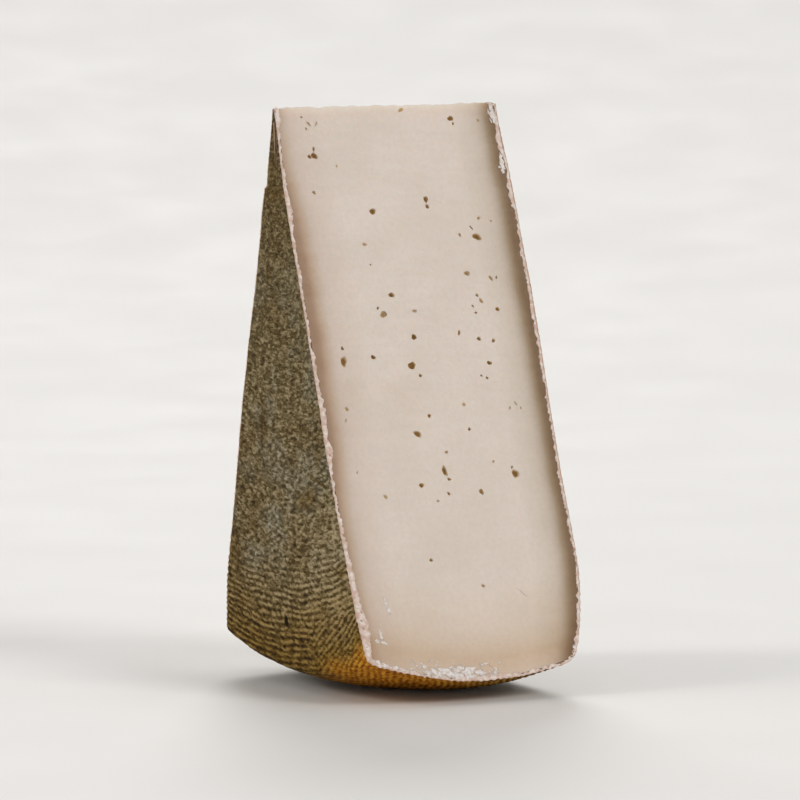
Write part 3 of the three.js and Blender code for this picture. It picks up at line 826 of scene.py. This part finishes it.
def let_light_in(shader, weight, reaches, scale):
    """Lets light under a skin: how much of it, and how far each colour goes as a share of a
    scale in metres."""
    shader.inputs["Subsurface Weight"].default_value = weight
    shader.inputs["Subsurface Radius"].default_value = reaches
    shader.inputs["Subsurface Scale"].default_value = scale


let_light_in(shader, 0.25, (1.0, 0.62, 0.38), 0.003)


def weld(piece):
    """Joins the sheets of a piece along their borders, and turns every face outwards."""
    shape = bmesh.new()
    shape.from_mesh(piece.data)
    bmesh.ops.remove_doubles(shape, verts=shape.verts, dist=WELD_GAP / 1000)
    bmesh.ops.recalc_face_normals(shape, faces=shape.faces)
    shape.to_mesh(piece.data)
    shape.free()


paste = make_piece("paste", paste_points, paste_cells, inside, "paste")
weld(paste)

# Lumps of neighbouring eyes may meet, so every other one is taken out first.
lumps = np.concatenate([eye_lumps(NEAR_EYES, NEAR_CUT, 71), eye_lumps(FAR_EYES, -FAR_CUT, 72)])
for part in (lumps[::2], lumps[1::2]):
    cutter = make_piece("eye_cutter", part, [ring_cells(part)], inside, "paste")
    weld(cutter)
    carve = paste.modifiers.new("eyes", "BOOLEAN")
    carve.operation, carve.solver, carve.object = "DIFFERENCE", "MANIFOLD", cutter
    bpy.context.view_layer.update()
    carved = bpy.data.meshes.new_from_object(paste.evaluated_get(bpy.context.evaluated_depsgraph_get()))
    paste.modifiers.clear()
    paste.data = carved
    bpy.data.objects.remove(cutter)
paste.data.shade_smooth()
paste.data.set_sharp_from_angle(angle=math.radians(38))


# The cut rind
# Where the knife went through the dry crust it broke rather than cut, and left a pale,
# flaky line round both cuts, broader in places, and reddish outside on the right.
RIBBON_STEP, SECTION_POINTS = 0.22, 12
CALM_STEPS = 20           # steps on either side over which its heading is evened out
USUAL_WIDTH = 0.85
OVERHANG = 0.06           # it starts this far outside the border of the rind
SUNK, ROUGH_LIFT = 0.45, 0.08   # it reaches this far into the cut, and stands out of it
NARROWER, REDDISH = (138, 150), (205, 235)   # where it gets so, along it from the tip


def inward_of(path, normal):
    """Arrows from a line into the cut, at right angles to the line's heading and the cut's
    normal. The heading is that of the line's moving mean under a smooth window."""
    window = np.hanning(2 * CALM_STEPS + 1)
    window = window / window.sum()
    padded = np.pad(path, ((CALM_STEPS, CALM_STEPS), (0, 0)), mode="edge")
    calm = np.stack([np.convolve(padded[:, axis], window, "valid") for axis in range(3)], axis=-1)
    inward = unit(np.cross(unit(np.gradient(calm, axis=0)), normal))
    within = np.array([0.0, path[:, 1].mean(), 90.0])
    return inward * np.sign(((within - path) * inward).sum(axis=-1).mean())


def flaky_line(name, column, cut, widths, seed):
    """A ribbon along the shell's border at one cut: at each step a flat closed loop, as wide
    as the broken rind is there, roughened along and round it, and at its ends a point. Each
    width is a place along it, how far that reaches, and how much it adds."""
    border = shell[:, column]
    run_to = np.concatenate([[0.0], np.linalg.norm(np.diff(border, axis=0), axis=-1).cumsum()])
    steps = np.arange(0, run_to[-1], RIBBON_STEP)
    path = np.stack([np.interp(steps, run_to, border[:, axis]) for axis in range(3)], axis=-1)
    wide = USUAL_WIDTH - 0.1 * rise(steps, *NARROWER) + uneven(0.5, steps, 0, 4.5, seed)
    wide += uneven(0.5, steps, 0, 1.2, seed + 1)
    for at, spread, extra in widths:
        wide += extra * np.exp(-(((steps - at) / spread) ** 2))
    steps, wide = steps[:, None], wide[:, None]
    angle = np.linspace(0, 2 * math.pi, SECTION_POINTS, endpoint=False)[None, :]
    inner = 0.5 - 0.5 * np.cos(angle)
    lengthwise, around = steps + 1.1 * inner * wide, 3.0 * np.cos(angle)
    lump = uneven(1, lengthwise, around + 8, 0.5, seed + 2)
    shred = uneven(1, lengthwise, around + 20, 1.0, seed + 3)
    inwards = inner * wide - OVERHANG + (0.4 * lump + 0.4 * shred) * inner ** 2 + 0.12 * lump
    lift = np.sin(angle)
    rough = ROUGH_LIFT + 0.16 * lump + 0.1 * shred
    lift = np.where(lift > 0, rough * np.abs(lift) ** 0.5, SUNK * lift)
    normal = cut_normal(cut)
    points = path[:, None] + inward_of(path, normal)[:, None] * inwards[..., None]
    points = points + normal * lift[..., None]
    points[..., 2] = np.maximum(points[..., 2], 0)
    ends = np.repeat(points[[0, -1]].mean(axis=1, keepdims=True), SECTION_POINTS, axis=1)
    points = np.concatenate([ends[:1], points, ends[1:]])
    outer = np.broadcast_to(0.5 + 0.5 * np.cos(angle), lift.shape)
    reddish = np.broadcast_to(rise(steps, *REDDISH), lift.shape)
    weld(make_piece(name, points, [ring_cells(points)], flaky, "cut_rind",
                    outer=np.pad(outer, ((1, 1), (0, 0)), constant_values=0.5),
                    reddish=np.pad(reddish, ((1, 1), (0, 0)), mode="edge")))


flaky, shader = new_finish("broken_rind")
outer = add_node(flaky, "Attribute", attribute_name="outer").outputs["Fac"]
reddish = add_node(flaky, "Attribute", attribute_name="reddish").outputs["Fac"]
flake = patches(flaky, 1.3, detail=4.0)
crumble = patches(flaky, 0.4, detail=3.0)
flaked = remap(flaky, flake, 0.36, 0.66)
pale = blend(flaky, flaked, seen(212, 182, 166), seen(240, 224, 215))
pale = blend(flaky, remap(flaky, crumble, 0.55, 0.75, 0.0, 0.5), pale, seen(176, 140, 118))
edge_brown = maths(flaky, "MULTIPLY", remap(flaky, outer, 0.55, 0.95), maths(
    flaky, "MULTIPLY_ADD", reddish, 0.65, 0.25))
pale = blend(flaky, edge_brown, pale, seen(158, 106, 70))
set_finish(flaky, shader, pale, remap(flaky, flake, 0.3, 0.7, 0.6, 0.85),
           maths(flaky, "ADD", flake, crumble), 0.00018)
shader.inputs["Specular IOR Level"].default_value = 0.35
let_light_in(shader, 0.15, (1.0, 0.6, 0.4), 0.0015)

flaky_line("cut_rind_near", SPREAD - 1, NEAR_CUT, [
    (2, 3.0, 0.6), (27, 3.5, 0.8), (81, 3.5, 0.9), (90, 3.5, 1.1), (126, 8, 0.8), (137, 6.5, 2.0),
    (180, 9, 0.5), (208, 4, 0.5), (306, 16, 0.45), (332, 4, 0.8), (345, 4, 0.8)], 80)
flaky_line("cut_rind_far", 0, -FAR_CUT, [
    (60, 5, 0.6), (120, 8, 0.8), (190, 8, 0.5), (290, 6, 0.5)], 90)


# Smears and crumbs
# Little flakes of broken rind at the ends of the tip edge, and smears of paste that the knife
# dragged over the foot of the near cut. Each is a flat lump that sits on the cut.

# Below the tip, across, half length, half width, and turn as for the eyes.
flakes = np.array([
    [137.3, 6.6, 1.3, 0.45, 75], [139.6, 7.2, 1.1, 0.4, 40], [139.0, 5.4, 0.8, 0.4, 10],
    [129.3, 9.4, 1.1, 0.36, 85], [131.5, 10.0, 1.0, 0.38, 80], [129.7, 48.6, 1.5, 0.18, 40],
    [0.25, 1.5, 0.9, 0.35, 0], [0.4, 3.1, 0.9, 0.28, 5], [1.3, 1.3, 0.9, 0.35, 85],
    [2.8, 1.1, 0.8, 0.3, 95], [0.6, 63.7, 0.8, 0.45, 0], [1.8, 63.6, 1.3, 0.7, 85],
    [3.4, 63.6, 1.3, 0.75, 90], [5.2, 64.1, 1.3, 0.6, 80], [2.6, 62.6, 0.9, 0.25, 75],
    [5.0, 62.9, 0.7, 0.22, 60], [14.8, 64.0, 1.0, 0.4, 75], [16.8, 64.0, 1.6, 0.85, 80],
    [18.6, 63.9, 0.8, 0.5, 110], [17.6, 63.1, 0.6, 0.25, 40],
])
# The same above the foot's edge instead of below the tip.
smears = np.array([
    [0.9, 4.6, 1.3, 0.7, 28], [0.9, 6.8, 1.4, 0.6, 22], [0.9, 9.0, 1.3, 0.5, 17],
    [0.9, 11.4, 1.2, 0.4, 15], [2.8, 17.3, 1.1, 0.4, 30], [1.4, 18.0, 1.2, 0.5, 20],
    [1.4, 20.6, 1.8, 0.9, 25], [1.9, 23.5, 2.2, 1.15, 15], [1.1, 26.2, 1.9, 0.8, 5],
    [2.8, 26.6, 1.7, 0.9, 0],
    [2.5, 29.6, 2.1, 1.05, 0], [1.0, 29.6, 1.8, 0.6, 175], [2.1, 32.5, 1.5, 0.75, 0],
    [4.1, 34.2, 1.0, 0.34, 175], [1.5, 36.8, 0.6, 0.6, 90], [0.9, 33.6, 1.4, 0.45, 0],
])
# Ninety smaller ones are strewn by a seeded draw over the middle of the foot.
above, placed, length, width, aslant = seeded_draw(90, 5, 101)
strewn = np.stack([0.4 + 4.2 * above ** 1.7, 13 + 26 * placed, 0.18 + 0.5 * length ** 2,
                   0.12 + 0.22 * width, 180 * aslant], axis=-1)
smears = np.concatenate([smears, strewn])
smears[:, 0] = reach_from_tip(NEAR_CUT, side_radius(smears[:, 1])) - smears[:, 0]


def smear_lumps(ovals, cut, seed):
    """Flat lumps on a cut: a dome on an oval whose edge is ragged, over a buried copy."""
    polar, spin = ball_angles(7, 24)
    phase = np.random.default_rng(seed).uniform(0, 2 * math.pi, (3, len(ovals), 1, 1))
    ragged = (1 + 0.25 * np.sin(2 * spin + phase[0]) + 0.2 * np.sin(5 * spin + phase[1])
              + 0.12 * np.sin(7 * spin + phase[2]))
    frayed = 0.12 * np.sin(9 * spin + phase[2])
    drop, place, length, width, twist = (column[:, None, None] for column in ovals.T)
    long_way = (length * ragged + frayed) * np.sin(polar) * np.cos(spin)
    short_way = (width * ragged + frayed) * np.sin(polar) * np.sin(spin)
    lift = (0.05 + 0.06 * width) * np.cos(polar) * (1 + 0.4 * np.sin(3 * spin + phase[0]))
    return spread_on_cut(cut, drop, place, twist, long_way, short_way, -lift)


smeary, shader = new_finish("smear")
clot = patches(smeary, 1.0, detail=4.0)
clotted = remap(smeary, clot, 0.34, 0.6)
smeared = blend(smeary, clotted, seen(222, 199, 185), seen(247, 236, 228))
set_finish(smeary, shader, smeared, remap(smeary, clot, 0.3, 0.7, 0.5, 0.7), clot, 0.0001)
let_light_in(shader, 0.3, (1.0, 0.7, 0.5), 0.001)

smear_points = smear_lumps(np.concatenate([flakes, smears]), NEAR_CUT, 102)
weld(make_piece("smears", smear_points, [ring_cells(smear_points)], smeary, "cut_rind"))


# The floor, the lights and the camera
# A pale studio floor that curves up a little on all sides, soft light from the front right, a
# weaker one from the left that rakes over the rind, one from behind, and the camera low in
# front of the near cut.
FLOOR_REACH, FLOOR_RISE, FLOOR_CURVE = 9, 0.9, (0.7, 4.0)   # metres, as all in this section
FLOOR_RINGS, FLOOR_SPOKES = 119, 96
FACE_UP = [0, 3, 2, 1]    # each cell's corners the other way round
out =FLOOR_REACH * np.linspace(0, 1, FLOOR_RINGS + 1)[1:, None]
spin = np.linspace(0, 2 * math.pi, FLOOR_SPOKES, endpoint=False)[None, :]
bowl = np.stack(np.broadcast_arrays(
    out * np.cos(spin), out * np.sin(spin), FLOOR_RISE * rise(out, *FLOOR_CURVE)), axis=-1)
bowl_cells = [*ring_cells(bowl)[:, FACE_UP].tolist(), list(range(FLOOR_SPOKES))]
floor_mesh = bpy.data.meshes.new("floor")
floor_mesh.from_pydata(bowl.reshape(-1, 3).tolist(), [], bowl_cells)
floor_mesh.shade_smooth()
floor = bpy.data.objects.new("floor", floor_mesh)
bpy.context.scene.collection.objects.link(floor)
floor_finish, shader = new_finish("studio_floor")
dust = patches(floor_finish, 60.0)
set_finish(floor_finish, shader, blend(floor_finish, dust, seen(226, 224, 221), seen(231, 229, 226)),
           remap(floor_finish, dust, 0.2, 0.8, 0.6, 0.7))
floor_mesh.materials.append(floor_finish)


def aim(holder, place, target=(0.0, 0.0, 0.0)):
    """Puts a lamp or camera in place, and turns it to a target: up from straight down by the
    angle of the arrow to the upright, and then round."""
    bpy.context.scene.collection.objects.link(holder)
    holder.location = place
    x, y, z = np.subtract(place, target)
    holder.rotation_euler = (math.atan2(math.hypot(x, y), z), 0, math.atan2(x, -y))


def soft_light(name, place, spread, power, colour):
    """A far lamp in the direction of a point, as wide as spread in degrees."""
    lamp = bpy.data.lights.new(name, "SUN")
    lamp.angle, lamp.energy, lamp.color = math.radians(spread), power, colour
    aim(bpy.data.objects.new(name, lamp), place)


soft_light("key", (0.55, -1.25, 0.98), 24, 1.13, (1.0, 0.99, 0.972))
soft_light("rake", (-1.3, 0.25, 0.78), 19, 0.74, (1.0, 0.975, 0.93))
soft_light("back", (0.6, 1.3, 1.03), 26, 1.0, (1.0, 0.99, 0.98))
world = bpy.data.worlds.new("studio")
world.use_nodes = True
world.node_tree.nodes["Background"].inputs[0].default_value = (0.92, 0.92, 0.92, 1)
world.node_tree.nodes["Background"].inputs[1].default_value = 0.44
bpy.context.scene.world = world
bpy.context.scene.view_settings.view_transform = "Standard"

camera = bpy.data.cameras.new("camera")
camera.lens, camera.sensor_width = 205, 36
camera.clip_start, camera.clip_end = 0.01, 50
viewer = bpy.data.objects.new("camera", camera)
aim(viewer, (-0.5493, -1.0327, 0.1587), target=(0.0, 0.0, 0.0735))
bpy.context.scene.camera = viewer
